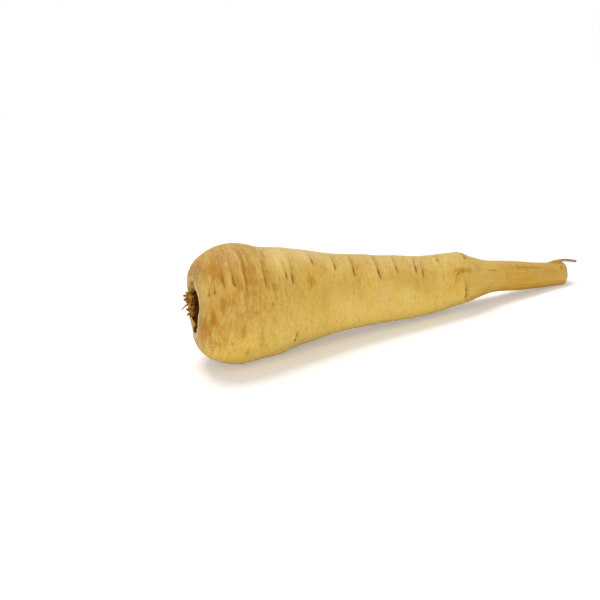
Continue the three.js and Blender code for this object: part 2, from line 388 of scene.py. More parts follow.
def mean_outline(tree, axis):
    """The root's mean outline as (along, radius), from the hollow's middle to the cut's."""
    turns = np.arange(PROBE_RAYS) * 360.0 / PROBE_RAYS

    def face(radius, at, inward):
        point, ahead, out = axis.outward(np.full(PROBE_RAYS, at), turns)
        starts = point + out * radius - ahead * inward * FACE_START
        return at + inward * (np.nanmedian(distances(tree, starts, ahead * inward)) - FACE_START)

    def side(at):
        point, _, out = axis.outward(np.full(PROBE_RAYS, at), turns)
        return SIDE_START - np.nanmedian(distances(tree, point + out * SIDE_START, -out))

    crown_radii = np.arange(0.0, CROWN_RADIUS + CROWN_STEP / 2, CROWN_STEP)
    cut_radii = np.arange(CUT_RADIUS, -CUT_STEP / 2, -CUT_STEP)
    crown = [(face(radius, 0.0, 1.0), radius) for radius in crown_radii]
    cut = [(face(radius, axis.length, -1.0), radius) for radius in cut_radii]
    first, last = crown[-1][0] + CROWN_MARGIN, cut[0][0] - CUT_MARGIN
    body = [(at, side(at)) for at in np.arange(first, last, SIDE_STEP)]
    line = np.array(crown + body + cut)
    run = travelled(line)
    line = read_at(np.arange(0, run[-1], OUTLINE_STEP), run, line)
    fine, broad = (soften(line, sigma) for sigma in OUTLINE_SOFTNESS)
    taper = smooth(10, 22, line[:, 0]) * smooth(4, 12, line[-1, 0] - line[:, 0])
    line = fine + (broad - fine) * taper[:, None]
    line[0, 1] = line[-1, 1] = 0.0
    run = travelled(line)
    rows = np.linspace(0, run[-1], int(run[-1] / ROW_STEP) + 1)
    return rows, read_at(rows, run, line)


def surface(tree, axis):
    """The CAD's own surface on an even grid, with its facets smoothed away."""
    rows, line = mean_outline(tree, axis)
    heading = unit(np.gradient(line, axis=0))
    turns = np.arange(COLUMNS) * 360.0 / COLUMNS
    along, turn = np.meshgrid(line[:, 0], turns, indexing="ij")
    point, ahead, out = axis.outward(along, turn)
    normal = out * heading[:, 0][:, None, None] - ahead * heading[:, 1][:, None, None]
    base = point + out * line[:, 1][:, None, None]
    starts = (base - normal * PROBE_DEPTH).reshape(-1, 3)
    off = distances(tree, starts, normal.reshape(-1, 3)).reshape(along.shape) - PROBE_DEPTH
    off[np.abs(off) > PROBE_LIMIT] = np.nan
    off = np.where(np.isnan(off), np.nanmedian(off, axis=1, keepdims=True), off)
    # The rootlet stands on the tail and is a piece of its own, so it is left out here.
    near_by = range(-ROOTLET_COLUMNS, ROOTLET_COLUMNS + 1)
    usual = np.median(np.stack([np.roll(off, k, axis=1) for k in near_by]), axis=0)
    tail = (line[:, 0] > axis.length - ROOTLET_LENGTH)[:, None]
    off = np.where(tail & (np.abs(off - usual) > ROOTLET_HEIGHT), usual, off)
    off = soften(off.T.copy(), ROUND_SOFTNESS, closed=True).T
    fine, broad = (soften(off, sigma) for sigma in SKIN_SOFTNESS)
    off = fine + (broad - fine) * smooth(3, 12, line[:, 0])[:, None]
    rim = int(np.argmin(line[:, 0]))
    return {
        "rows": rows, "line": line, "base": base, "normal": normal, "off": off,
        "along": along, "turn": turn, "run": np.broadcast_to(rows[:, None], turn.shape),
        "rim": rim, "past_rim": rows - rows[rim], "to_end": rows[-1] - rows,
    }


def layered(grid, layers):
    """Relief from layers of soft random values."""
    return sum(
        height * ring_noise(grid["run"], grid["turn"], cell, cells, seed)
        for height, cell, cells, seed in layers
    )


def hidden_creases(grid):
    """Creases for the sides that the photograph doesn't show, placed at random along rows."""
    outline = grid["line"][grid["rim"] :]
    rng = np.random.default_rng(SEED)
    made = []
    for middle in HIDDEN_ROWS:
        at = rng.uniform(8, 14)
        while at < HIDDEN_END:
            radius = np.interp(at, outline[:, 0], outline[:, 1])
            half = math.degrees(rng.uniform(4.0, 9.5) / radius)
            centre = middle + rng.uniform(-13, 13)
            lean = rng.uniform(-1.0, 1.0)
            depth, dark = rng.uniform(0.2, 0.48), rng.uniform(0.25, 1.0)
            made.append((at - lean, centre - half, at + lean, centre + half, depth, dark))
            at += rng.uniform(6.0, 13.0)
    return made


def crease_fields(grid):
    """Grooves with a raised lip on the crown's side: relief, slits with a brown mark and painted
    shade, painted highlights on the lips, painted tan shade behind.
    """
    along, turn = grid["along"], grid["turn"]
    outside = smooth(1.0, 4.0, grid["past_rim"])[:, None]
    relief, dark, lip, shade = (np.zeros(along.shape) for _ in range(4))
    rng = np.random.default_rng(SEED + 1)
    for start, turn_a, end, turn_b, depth, darkness in CREASES + hidden_creases(grid):
        span = turn_b - turn_a
        part = turned_from(turn, (turn_a + turn_b) / 2) / span + 0.5
        near = (part > -0.05) & (part < 1.05)
        part = np.clip(part, 0, 1)
        phase = rng.uniform(0, 6.28)
        wander = 0.22 * np.sin(part * 5.0 + phase) + 0.10 * np.sin(part * 13.0 + 2 * phase)
        x = along - (start + (end - start) * part + wander)
        near &= np.abs(x) < 6
        shape = np.sqrt(np.clip(np.sin(np.pi * part), 0, 1)) * near
        # The last third opens into a slit, its brown mark darkened by painted shade; before it
        # there is only a fine line.
        core = smooth(0.58, 0.80, part) * smooth(1.0, 0.93, part)
        groove = hump(x, 0.42 + 0.12 * core) * (0.50 + 0.50 * core)
        behind = np.where(x > 0, hump(x - 0.8, 2.2), hump(x - 0.8, 0.8))
        relief += shape * depth * (0.75 * hump(x + 1.5, 1.3) - groove - 0.42 * behind)
        width = 0.30 + 0.28 * core
        line = 0.23 + 0.10 * darkness + (0.20 + 0.36 * darkness) * core
        dark = np.maximum(dark, shape * hump(x - 0.05, width) * line)
        long = min(1.0, abs(span) / 30) * (0.25 + 0.75 * darkness)
        lip = np.maximum(lip, shape * hump(x + 1.2, 0.8) * (0.45 + 0.55 * core) * long)
        shade = np.maximum(shade, shape * hump(x - 0.9, 1.2) * (0.40 + 0.25 * core) * long)
    return relief * outside, dark * outside, lip * outside, shade * outside


def patch_field(grid, patches):
    """Soft-edged patches on the skin, from 0 to 1."""
    along, turn = grid["along"], grid["turn"]
    radius = np.maximum(grid["line"][:, 1], 2.0)[:, None]
    outside = smooth(-1.5, 0.5, grid["past_rim"])[:, None]
    field = np.zeros(along.shape)
    for at, centre, long_half, round_half, strength in patches:
        x = (along - at) / long_half
        y = np.radians(turned_from(turn, centre)) * radius / round_half
        field = np.maximum(field, strength * np.exp(-(x * x + y * y)))
    return field * outside


def skin_areas(grid):
    """The root's regions, each from 0 to 1 over the whole grid."""
    along, turn = grid["along"], grid["turn"]
    past_rim, to_end = grid["past_rim"][:, None], grid["to_end"][:, None]
    everywhere = np.ones(turn.shape)
    # Painted shade darkens the hollow close behind its rim, except under the far side's top and
    # bottom.
    unshaded_depth = 0.5 + 4.6 * facing(turn, -38, 41) + 1.9 * facing(turn, 208, 13)
    low_side = 1 - 0.85 * facing(turn, 140, 36)
    # Painted shade on the underside of the tail.
    under_tail_shade = smooth(144, 162, along) * facing(turn, 158, 52)
    tan = smooth(46, 20, along) * (0.28 + 0.72 * facing(turn, 42, 52))
    tan = np.maximum(tan, 0.95 * smooth(16, 6, along) * low_side) * smooth(-0.5, 1.5, past_rim)
    return {
        "hollow": smooth(0.0, 1.6, -past_rim - unshaded_depth),
        "wall": smooth(0.0, 1.2, -past_rim) * everywhere,
        "edge": hump(past_rim - 0.3, 1.0) * (0.30 + 0.70 * facing(turn, 74, 42)),
        "shoulder": smooth(62, 20, along) * smooth(0.0, 4.0, past_rim),
        "tan": np.maximum(tan, 0.55 * under_tail_shade),
        # Painted highlight along the top side.
        "topside": facing(turn, -12, 42) * smooth(9, 23, along),
        # Painted bounce light along the underside, fading towards the tail.
        "belly": facing(turn, 142, 40) * smooth(0, 9, along) * smooth(168, 140, along),
        "tail": smooth(NECK - 6, NECK + 14, along),
        "cut": smooth(7.4, 5.6, to_end) * everywhere,
    }


def skin_relief(grid, area):
    """Relief in millimetres on the CAD's surface, without the creases."""
    along, turn, tail = grid["along"], grid["turn"], area["tail"]
    past_rim, to_end = grid["past_rim"][:, None], grid["to_end"][:, None]
    body = smooth(1.5, 7.0, past_rim) * smooth(3.5, 6.0, to_end)
    rings = layered(grid, RINGS) * (0.55 + layered(grid, RING_STRENGTH) + 0.5 * area["shoulder"])
    relief = layered(grid, LUMPS) * (1 - 0.45 * tail) + rings * (1 - 0.8 * tail)
    relief = body * (relief + layered(grid, STRANDS) * tail)

    # A knob stands on top of the neck, with a step down behind it.
    knob = hump(along - KNOB, np.where(along < KNOB, 5.5, 1.5))
    relief += facing(turn, 4, 24) * (0.75 * knob - 0.10 * hump(along - KNOB - 3.2, 1.6))
    for at, centre, long_half, turn_half, height in SWELLS:
        relief += body * height * hump(along - at, long_half) * facing(turn, centre, turn_half)
    relief += TAIL_SWELL * body * smooth(150, 160, along)

    # The rim's collar and the folds on the hollow's wall.
    relief += hump(past_rim - 1.0, 3.2) * layered(grid, COLLAR)
    inside = smooth(0.3, -1.6, past_rim) * smooth(0, 6, grid["rows"])[:, None]
    relief += inside * layered(grid, FOLDS)

    # The cut's face, rough and faintly ringed.
    rings = 0.10 * np.sin(grid["line"][:, 1][:, None] * 5.2)
    on_cut = smooth(5.6, 4.6, to_end)
    return relief + on_cut * (layered(grid, CUT_GRAIN) + rings) * smooth(0.0, 1.5, to_end)


def skin_fields(grid):
    """Relief in millimetres and what the materials read, over the whole grid."""
    area = skin_areas(grid)
    creases, slit, lip, shade = crease_fields(grid)
    patch = {kind: patch_field(grid, patches) for kind, patches in PATCHES.items()}
    # Painted highlights: the lips of the creases and the gleaming patches.
    lip = np.maximum(lip * smooth(10, 34, grid["along"]), patch.pop("gleam"))
    angle = np.radians(grid["turn"])
    return skin_relief(grid, area) + creases, {
        **area, **patch, "slit": slit, "lip": lip, "shade": shade,
        "matt": np.maximum(area["hollow"], slit),
        "skin": np.stack([grid["run"] * CM, np.cos(angle), np.sin(angle)], -1),
        "reach": np.broadcast_to(grid["line"][:, 1][:, None], angle.shape) * CM,
    }


def columns_of(grid):
    """How many of the grid's columns each row keeps, so that cells stay near square."""
    radius, past_rim = grid["line"][:, 1], grid["past_rim"]
    keep = np.full(len(radius), COLUMNS)
    keep[(past_rim < -2.0) | (grid["line"][:, 0] > NECK)] = COLUMNS // 2
    for limit, share in ((6.0, 4), (3.0, 8), (1.4, 16)):
        keep[(radius < limit) & ((past_rim < 0) | (grid["to_end"] < 6.0))] = COLUMNS // share
    for k in range(1, len(keep)):
        keep[k] = min(keep[k], keep[k - 1] * 2)
    for k in range(len(keep) - 2, -1, -1):
        keep[k] = min(keep[k], keep[k + 1] * 2)
    return keep


def end_fans(count, first, last):
    """Triangles that close a tube whose end rings have that many points."""
    fans = [(count, (j + 1) % first, j) for j in range(first)]
    end = count - last
    return fans + [(count + 1, end + j, end + (j + 1) % last) for j in range(last)]


def stitched(grid, points, fields):
    """Points, faces and per-point values of a closed mesh over the grid's inner rows."""
    keep = columns_of(grid)[1:-1].tolist()
    starts = np.concatenate([[0], np.cumsum(keep)]).tolist()

    def kept(field):
        rows = [field[k + 1, :: COLUMNS // columns] for k, columns in enumerate(keep)]
        return np.concatenate(rows + [field[end].mean(0, keepdims=True) for end in (0, -1)])

    faces = []
    for k in range(len(keep) - 1):
        a, b, na, nb = starts[k], starts[k + 1], keep[k], keep[k + 1]
        for j in range(min(na, nb)):
            m = (j + 1) % min(na, nb)
            if na == nb:
                faces.append((a + j, a + m, b + m, b + j))
            elif na > nb:
                mid = a + 2 * j + 1
                faces += [(a + 2 * j, mid, b + j), (mid, b + m, b + j)]
                faces.append((mid, a + (2 * j + 2) % na, b + m))
            else:
                mid = b + 2 * j + 1
                faces += [(a + j, mid, b + 2 * j), (a + j, a + m, mid)]
                faces.append((a + m, b + (2 * j + 2) % nb, mid))
    faces += end_fans(starts[-1], keep[0], keep[-1])
    return kept(points), faces, {key: kept(field) for key, field in fields.items()}


def build_root(material, lining):
    grid = surface(tree_of("taproot"), Axis())
    relief, fields = skin_fields(grid)
    points = grid["base"] + grid["normal"] * (grid["off"] + relief)[..., None]
    points[..., 2] = np.maximum(points[..., 2], 0.0)
    points, faces, values = stitched(grid, points, fields)
    root = new_object("root_skin", points, faces, material, values, lining)
    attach(root, "root")
    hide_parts("taproot")


# ---- material helpers


def put(tree, socket, value):
    """Set a socket, or link it to an output or to the mesh attribute of that name."""
    if isinstance(value, str):
        value = add_node(tree, "Attribute", {}, "Fac", attribute_name=value)
    if isinstance(value, bpy.types.NodeSocket):
        tree.links.new(value, socket)
    elif socket.type == "RGBA":
        socket.default_value = (*value, 1.0)
    else:
        socket.default_value = value


def add_node(tree, kind, inputs, output=0, **settings):
    """Make a shader node and return one of its outputs."""
    node = tree.nodes.new("ShaderNode" + kind)
    for key, value in settings.items():
        setattr(node, key, value)
    for key, value in inputs.items():
        put(tree, node.inputs[key], value)
    return node.outputs[output]


class Shader:
    """A Principled material, the colour that it has so far, and short ways of adding nodes."""

    def __init__(self, name, colour, roughness, specular):
        self.material = bpy.data.materials.new(name)
        self.material.use_nodes = True
        self.tree = self.material.node_tree
        self.node = partial(add_node, self.tree)
        self.colour = colour
        # A viewer that can't read the nodes falls back on this roughness.
        self.set("Roughness", roughness)
        self.set("Specular IOR Level", specular)

    def set(self, name, value):
        put(self.tree, self.tree.nodes["Principled BSDF"].inputs[name], value)

    def place_mm(self):
        return self.scaled(self.node("TexCoord", {}, "Object"), (1 / MM,) * 3)

    def scaled(self, vector, scale):
        return self.node("VectorMath", {0: vector, 1: scale}, operation="MULTIPLY")

    def noise(self, vector, scale, detail, rough, distortion=0.0):
        inputs = {"Vector": vector, "Scale": scale, "Detail": detail, "Roughness": rough}
        return self.node("TexNoise", {**inputs, "Distortion": distortion}, "Fac")

    def skin_noise(self, along, around, detail=4):
        """Noise that follows the skin: how fast it changes along the root and round it."""
        place = self.node("Attribute", {}, "Vector", attribute_name="skin")
        return self.noise(self.scaled(place, (along, around, around)), 1.0, detail, 0.6)

    def between(self, value, low, high, to_low=0.0, to_high=1.0):
        """Soft change from to_low to to_high as the value goes from low to high."""
        inputs = {"Value": value, "From Min": low, "From Max": high}
        inputs.update({"To Min": to_low, "To Max": to_high})
        return self.node("MapRange", inputs, "Result", interpolation_type="SMOOTHSTEP")

    def chained(self, operation, values):
        out = values[0]
        for value in values[1:]:
            out = self.node("Math", {0: out, 1: value}, operation=operation)
        return out

    def plus(self, *values):
        return self.chained("ADD", values)

    def times(self, *values):
        return self.chained("MULTIPLY", values)

    def least(self, *values):
        return self.chained("MINIMUM", values)

    def mix(self, share, a, b):
        # Of a mix of colours, input 0 is the share, 6 and 7 are the colours; output 2 is it.
        return self.node("Mix", {0: share, 6: a, 7: b}, 2, data_type="RGBA")

    def paint(self, colour, *shares):
        """Lay a colour over the one so far, as much as the product of the shares."""
        self.colour = self.mix(self.times(*shares), self.colour, colour)

    def finished(self, rough, height, height_mm):
        bump = self.node("Bump", {"Height": height, "Distance": height_mm * MM}, "Normal")
        self.set("Base Color", self.colour)
        self.set("Roughness", rough)
        self.set("Normal", bump)
        return self.material


# ---- materials

SKIN_MID = (0.6, 0.372, 0.066)
SKIN_PALE = (0.69, 0.475, 0.108)
SKIN_GOLD = (0.61, 0.35, 0.036)
# Painted highlight on the top side.
TOP_HIGHLIGHT = (0.7, 0.5, 0.165)
# Painted bounce light on the underside.
BELLY_BOUNCE_LIGHT = (0.775, 0.574, 0.142)
TAN = (0.44, 0.212, 0.018)
TAN_DEEP = (0.43, 0.19, 0.014)
STAIN = (0.43, 0.183, 0.004)
FRECKLE = (0.28, 0.13, 0.02)
# Painted highlight on the creases' lips.
LIP_HIGHLIGHT = (0.78, 0.58, 0.24)
CREASE_BROWN = (0.34, 0.15, 0.012)
# Painted shade in the open slits.
SLIT_SHADE = (0.085, 0.03, 0.003)
CREAM = (0.79, 0.55, 0.14)
WARM_GOLD = (0.8, 0.5, 0.055)
WAN_YELLOW = (0.63, 0.445, 0.132)
GRIME_BROWN = (0.29, 0.145, 0.03)
TAIL_TAN = (0.57, 0.27, 0.024)
TAIL_DARK = (0.44, 0.2, 0.03)
CUT_PALE = (0.56, 0.37, 0.14)
CUT_RING = (0.38, 0.22, 0.075)
EDGE_PALE = (0.82, 0.63, 0.29)
WALL_TAN = (0.56, 0.315, 0.06)
WALL_BROWN = (0.33, 0.14, 0.02)
# Painted shade inside the hollow: its dark, brown and pale ribs.
HOLLOW_SHADE_PALE = (0.24, 0.105, 0.02)
HOLLOW_SHADE_BROWN = (0.112, 0.03, 0.002)
HOLLOW_SHADE_DARK = (0.056, 0.011, 0.001)

SKIN_SPECULAR = 0.28
LINING_SPECULAR = 0.03      # in the hollow and in open creases
DRY_SPECULAR = 0.05


def paint_body(s, place, streaks, fine_streaks):
    """The skin between its marks: cream and gold, tan about the crown with painted shade under the
    tail, a painted highlight on its top side and painted bounce light underneath.
    """
    s.paint(SKIN_PALE, s.between(s.noise(place, 0.060, 3, 0.55), 0.36, 0.66))
    s.paint(SKIN_GOLD, s.between(s.noise(place, 0.045, 2, 0.5), 0.46, 0.64), 0.85)
    # Painted highlight along the top side.
    s.paint(TOP_HIGHLIGHT, "topside", 0.65)
    # Painted bounce light on the underside.
    s.paint(BELLY_BOUNCE_LIGHT, "belly", 0.85)

    broad = s.skin_noise(2.0, 1.7)
    # Tan about the crown, and painted shade under the tail.
    s.paint(TAN, "tan", s.between(broad, 0.34, 0.60, 0.50, 1.0))
    s.paint(TAN_DEEP, "tan", s.between(broad, 0.50, 0.66), 0.65)

    flecks = s.between(s.noise(place, 0.42, 4, 0.65), 0.50, 0.62)
    s.paint(TAN_DEEP, flecks, s.plus(s.times("shoulder", 0.32), 0.12))
    smudges = s.between(s.noise(place, 0.17, 3, 0.6), 0.50, 0.62)
    s.paint(TAN, smudges, "shoulder", 0.45)
    pale_spots = s.between(s.noise(place, 0.21, 3, 0.6), 0.50, 0.70)
    s.paint(SKIN_PALE, pale_spots, "shoulder", 0.45)
    strength = s.plus(s.times("shoulder", 0.6), 1.1)
    s.paint(TAN, s.between(streaks, 0.54, 0.70, 0.0, 0.36), strength)
    s.paint(SKIN_PALE, s.between(streaks, 0.44, 0.30, 0.0, 0.35), strength)
    s.paint(SKIN_PALE, s.between(fine_streaks, 0.50, 0.36, 0.0, 0.30), strength)
    s.paint(TAN, s.between(fine_streaks, 0.53, 0.68, 0.0, 0.42), strength)
    # More painted bounce light on the underside.
    s.paint(BELLY_BOUNCE_LIGHT, "belly", 0.30)


def paint_marks(s, place, streaks):
    """The skin's own marks: patches, freckles and creases."""
    mottle = s.noise(place, 0.30, 4, 0.6)
    mottled = s.between(mottle, 0.30, 0.60, 0.5, 1.0)
    s.paint(SKIN_PALE, "pale", mottled)
    s.paint(CREAM, "cream")
    s.paint(WARM_GOLD, "gold", s.between(mottle, 0.38, 0.60, 0.3, 1.0))
    s.paint(WAN_YELLOW, "wan", s.between(streaks, 0.34, 0.58, 1.0, 0.6))
    ragged = s.plus(s.between(mottle, 0.30, 0.70, -0.20, 0.16), "stain")
    ragged = s.plus(ragged, s.between(streaks, 0.34, 0.62, -0.18, 0.14))
    s.paint(STAIN, s.least(s.between(ragged, 0.02, 1.10), s.times("stain", 1.4)))
    cells = s.node("TexVoronoi", {"Vector": place, "Scale": 0.34}, "Distance")
    where = s.between(s.noise(place, 0.10, 2, 0.5), 0.50, 0.62)
    s.paint(FRECKLE, s.between(cells, 0.16, 0.06), where, 0.25)
    s.paint(GRIME_BROWN, "grime", s.between(s.noise(place, 0.8, 4, 0.65), 0.42, 0.60))
    s.paint(TAN_DEEP, "shade", mottled)
    # Painted highlight on the creases' lips and the gleaming patches.
    s.paint(LIP_HIGHLIGHT, "lip", 0.45)
    s.paint(CREASE_BROWN, s.between("slit", 0.05, 0.40, 0.0, 0.80))
    # Painted shade in the open slits, over their brown mark.
    s.paint(SLIT_SHADE, s.between("slit", 0.42, 0.85))


def paint_ends(s, place, strands):
    """The strands of the tail, the face of its cut, and the inside and rim of the hollow, with
    painted shade deep inside it.
    """
    tail = s.mix(s.between(strands, 0.42, 0.64), TAIL_TAN, TAIL_DARK)
    s.paint(s.mix(s.between(strands, 0.50, 0.36, 0.0, 0.6), tail, SKIN_PALE), "tail", 0.28)
    wobble = s.times(s.noise(place, 0.35, 2, 0.5), 0.35)
    ring_place = s.node("CombineXYZ", {0: s.times(s.plus("reach", wobble), 8.0)})
    rings = s.between(s.noise(ring_place, 1.0, 3, 0.5), 0.42, 0.60)
    s.paint(s.mix(rings, CUT_PALE, CUT_RING), "cut", 0.8)

    mottle = s.noise(place, 0.45, 3, 0.6)
    s.paint(s.mix(s.between(mottle, 0.50, 0.62), WALL_TAN, WALL_BROWN), "wall", 0.85)
    # Painted shade deep in the hollow, in dark, brown and pale ribs.
    ribs = s.skin_noise(3.0, 6.0)
    inner = s.mix(s.between(ribs, 0.44, 0.60), HOLLOW_SHADE_DARK, HOLLOW_SHADE_BROWN)
    inner = s.mix(s.between(ribs, 0.58, 0.74, 0.0, 0.7), inner, HOLLOW_SHADE_PALE)
    deep = s.plus("hollow", s.between(mottle, 0.3, 0.7, -0.2, 0.2))
    s.paint(inner, s.between(deep, 0.25, 0.75))
    s.paint(EDGE_PALE, "edge", 0.85)


def skin_material(name, specular):
    s = Shader(name, SKIN_MID, 0.50, specular)
    place = s.place_mm()
    streaks, fine_streaks = s.skin_noise(5.5, 2.6), s.skin_noise(16.0, 7.0, 3)
    strands = s.skin_noise(0.9, 11.0)
    grain = s.noise(place, 1.3, 4, 0.6)
    paint_body(s, place, streaks, fine_streaks)
    paint_marks(s, place, streaks)
    paint_ends(s, place, strands)
    s.set("Subsurface Weight", 0.12)
    s.set("Subsurface Radius", (1.0, 0.55, 0.2))
    s.set("Subsurface Scale", 0.0015)
    rough = s.between(s.plus(grain, s.times("slit", 0.4)), 0.3, 0.9, 0.42, 0.78)
    height = s.plus(s.times(fine_streaks, 0.9), s.times(grain, 0.35), s.times("tail", strands, 0.4))
    return s.finished(rough, height, 0.22)


STALK_PALE = (0.51, 0.248, 0.055)
STALK_BROWN = (0.29, 0.116, 0.014)
STALK_DARK = (0.07, 0.02, 0.003)
HEART_PALE = (0.16, 0.07, 0.022)
HEART_DARK = (0.045, 0.014, 0.004)
ROOTLET_PALE = (0.56, 0.33, 0.07)
ROOTLET_BROWN = (0.37, 0.265, 0.15)


def dry_material(name, pale, brown, dark):
    """Dead, fibrous plant tissue, paler strand by strand, with painted shade deep in the crown."""
    s = Shader(name, brown, 0.80, DRY_SPECULAR)
    place = s.place_mm()
    strands = s.noise(s.scaled(place, (0.35, 3.0, 3.0)), 1.0, 4, 0.65, 0.3)
    blotch = s.noise(place, 0.7, 3, 0.6)
    tone = s.plus("tone", s.between(blotch, 0.3, 0.7, -0.35, 0.35))
    s.paint(pale, s.between(tone, 0.25, 0.80))
    s.paint(dark, s.between(strands, 0.50, 0.36, 0.0, 0.55))
    depth = s.plus("deep", s.between(blotch, 0.3, 0.7, -0.8, 0.8))
    # Painted shade: the deeper in the crown, the darker.
    s.paint(dark, s.between(depth, -0.2, -2.6, 0.0, 0.95))
    rough = s.between(strands, 0.3, 0.7, 0.90, 0.70)
    return s.finished(rough, s.plus(strands, s.times(blotch, 0.4)), 0.25)


# ---- tubes


def curve_along(points, count):
    """Evenly spaced points on a smooth line along the given ones."""
    points = np.array(points, float)
    marks = travelled(points)
    fine = 4 * count
    line = read_at(np.linspace(0, marks[-1], fine), marks, points)
    line = soften(line, fine / len(points) / 3)
    marks = travelled(line)
    return read_at(np.linspace(0, marks[-1], count), marks, line)


def ring_faces(rings, sides):
    """Quads between the rings of points of a tube."""
    faces = []
    for a in range(0, (rings - 1) * sides, sides):
        for j in range(sides):
            m = (j + 1) % sides
            faces.append((a + j, a + m, a + sides + m, a + sides + j))
    return faces


def tube(points, radii, sides, flat, seed, uneven=0.22):
    """Points and faces of a closed, slightly uneven strand round a line."""
    rng = np.random.default_rng(SEED * 77 + seed)
    ahead = unit(np.gradient(points, axis=0))
    guide = [0.0, 0.0, 1.0] if abs(ahead[0, 2]) < 0.8 else [0.0, 1.0, 0.0]
    side = unit(np.cross(ahead, guide))
    up = np.cross(side, ahead)
    angles = np.arange(sides) * 2 * math.pi / sides
    rough = soften(rng.uniform(-1, 1, (len(points), sides)), 1.2)
    size = radii[:, None] * (1 + uneven * rough)
    wide, high = np.cos(angles) * size, np.sin(angles) * size * np.reshape(flat, (-1, 1))
    ring = side[:, None] * wide[..., None] + up[:, None] * high[..., None]
    body = (points[:, None] + ring).reshape(-1, 3)
    faces = ring_faces(len(points), sides) + end_fans(len(body), sides, sides)
    ends = ahead[[0, -1]] * radii[[0, -1], None] * [[-0.5], [0.5]]
    return np.concatenate([body, points[[0, -1]] + ends]), faces


def joined(parts):
    """One set of points, faces and per-point values out of several."""
    points, faces, values, count = [], [], {}, 0
    for more, sides, given in parts:
        points.append(more)
        faces += [tuple(count + k for k in face) for face in sides]
        for key, value in given.items():
            values.setdefault(key, []).append(np.broadcast_to(value, (len(more),)))
        count += len(more)
    return np.concatenate(points), faces, {k: np.concatenate(v) for k, v in values.items()}


def build_rootlet(material):
    tail = np.array(CENTRE_LINE[-1]) + SOURCE_ZERO
    line = curve_along(tail + np.array(ROOTLET_PATH), count=70)
    radii = ROOTLET_RADIUS - ROOTLET_THINNING * np.linspace(0, 1, len(line))
    web = ROOTLET_WEB / 2 * smooth(-1.0, -5.0, line[:, 0] - tail[0])
    line[:, 2] -= web
    points, faces = tube(line, radii, sides=14, flat=0.85 + web, seed=5, uneven=0.08)
    tone = 1.2 - 1.1 * smooth(-6.0, -0.5, points[:, 0] - tail[0])
    values = {"tone": tone, "deep": np.zeros(len(points))}
    piece = new_object("rootlet", points, faces, material, values)
    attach(piece, "root")


# ---- the crown's stubs


def on_crown(points):
    """To the shared frame from the crown's: towards -Y, upwards, and out of the rim's middle."""
    first, second = (np.array(point, float) for point in CENTRE_LINE[:2])
    outwards = unit(first - second)
    across = unit(np.cross([0.0, 0.0, 1.0], outwards))
    rows = np.stack([across, np.cross(outwards, across), outwards])
    return first + SOURCE_ZERO + points @ rows


def stub_to_crown(points, around, out, lean):
    """From a stub's own frame to the crown's, the way that the CAD source places it."""
    a, b = math.radians(around), math.radians(lean)
    x, y, z = points[:, 0], points[:, 1], points[:, 2]
    y, z = y * math.cos(b) + z * math.sin(b), z * math.cos(b) - y * math.sin(b)
    x, y = x * math.cos(a) + y * math.sin(a), y * math.cos(a) - x * math.sin(a)
    place = np.array([math.sin(a) * out, math.cos(a) * out, 0.0]) + HEART_OFFSET
    return np.stack([x, y, z], 1) + place


def channelled(x, out):
    """How far a stub bends back at x from its middle, as it stands round the heart."""
    return x**2 / (2 * out) if out else 0.0


def torn_top(x, width, top):
    """How high the wavy torn edge stands there."""
    return STUB_BASE + (top - STUB_BASE) * (0.91 - 0.09 * np.sin(1.7 * x + width))


def stub_body(key, width, thick, top, out):
    """A stub's channelled, ribbed body with a torn top: points, faces and tone, in its frame."""
    rng = np.random.default_rng(SEED * 41 + key)
    angle = np.arange(BODY_SIDES) * 2 * math.pi / BODY_SIDES
    part = np.linspace(0, 1, BODY_ROWS)[:, None]
    ribs = soften(rng.uniform(-1, 1, BODY_SIDES), 0.9, closed=True)
    across = np.sign(np.cos(angle)) * np.abs(np.cos(angle)) ** 0.8 * width / 2
    coarse, fine = (np.linspace(-width / 2, width / 2, count) for count in (5, 12))
    torn = np.interp(across, coarse, rng.uniform(-0.9, 0.7, len(coarse)))
    torn += np.interp(across, fine, rng.uniform(-0.30, 0.30, len(fine)))
    torn = soften(torn, 1.8, closed=True)
    high = torn_top(across, width, top) + torn + 0.25 + 1.2 * smooth(-1.0, 1.0, top)
    thin = 1 - 0.78 * smooth(0.65, 1.0, part)
    lumps = soften(rng.uniform(-1, 1, (BODY_ROWS, BODY_SIDES)), 2.5)
    depth = np.sin(angle) * thick / 2 * thin + (0.16 * ribs + 0.22 * lumps) * np.sign(np.sin(angle))
    x = across * (1 - NARROWING * part**2)
    curl = 0.30 * np.sin(x * 1.1 + key) * part**3
    y = depth - channelled(x, out) + curl + 0.10 * out * part**5 * (top > 0)
    z = STUB_BASE + 0.1 + (high - STUB_BASE) * part
    points = np.stack([x, y, z], -1).reshape(-1, 3)
    faces = ring_faces(BODY_ROWS, BODY_SIDES)
    last = (BODY_ROWS - 1) * BODY_SIDES
    # Strips across close the flat foot and the torn top.
    for j in range(BODY_SIDES // 2):
        m, n = (BODY_SIDES - j) % BODY_SIDES, BODY_SIDES - j - 1
        for start, flip in ((0, 1), (last, -1)):
            corners = list(dict.fromkeys([start + j, start + m, start + n, start + j + 1]))
            if len(set(corners)) > 2:
                faces.append(tuple(corners[::flip]))
    tone = 0.5 + 0.72 * soften(rng.uniform(-1, 1, BODY_SIDES), 1.4, closed=True)
    return points, faces, np.broadcast_to(tone, (BODY_ROWS, BODY_SIDES)).ravel()


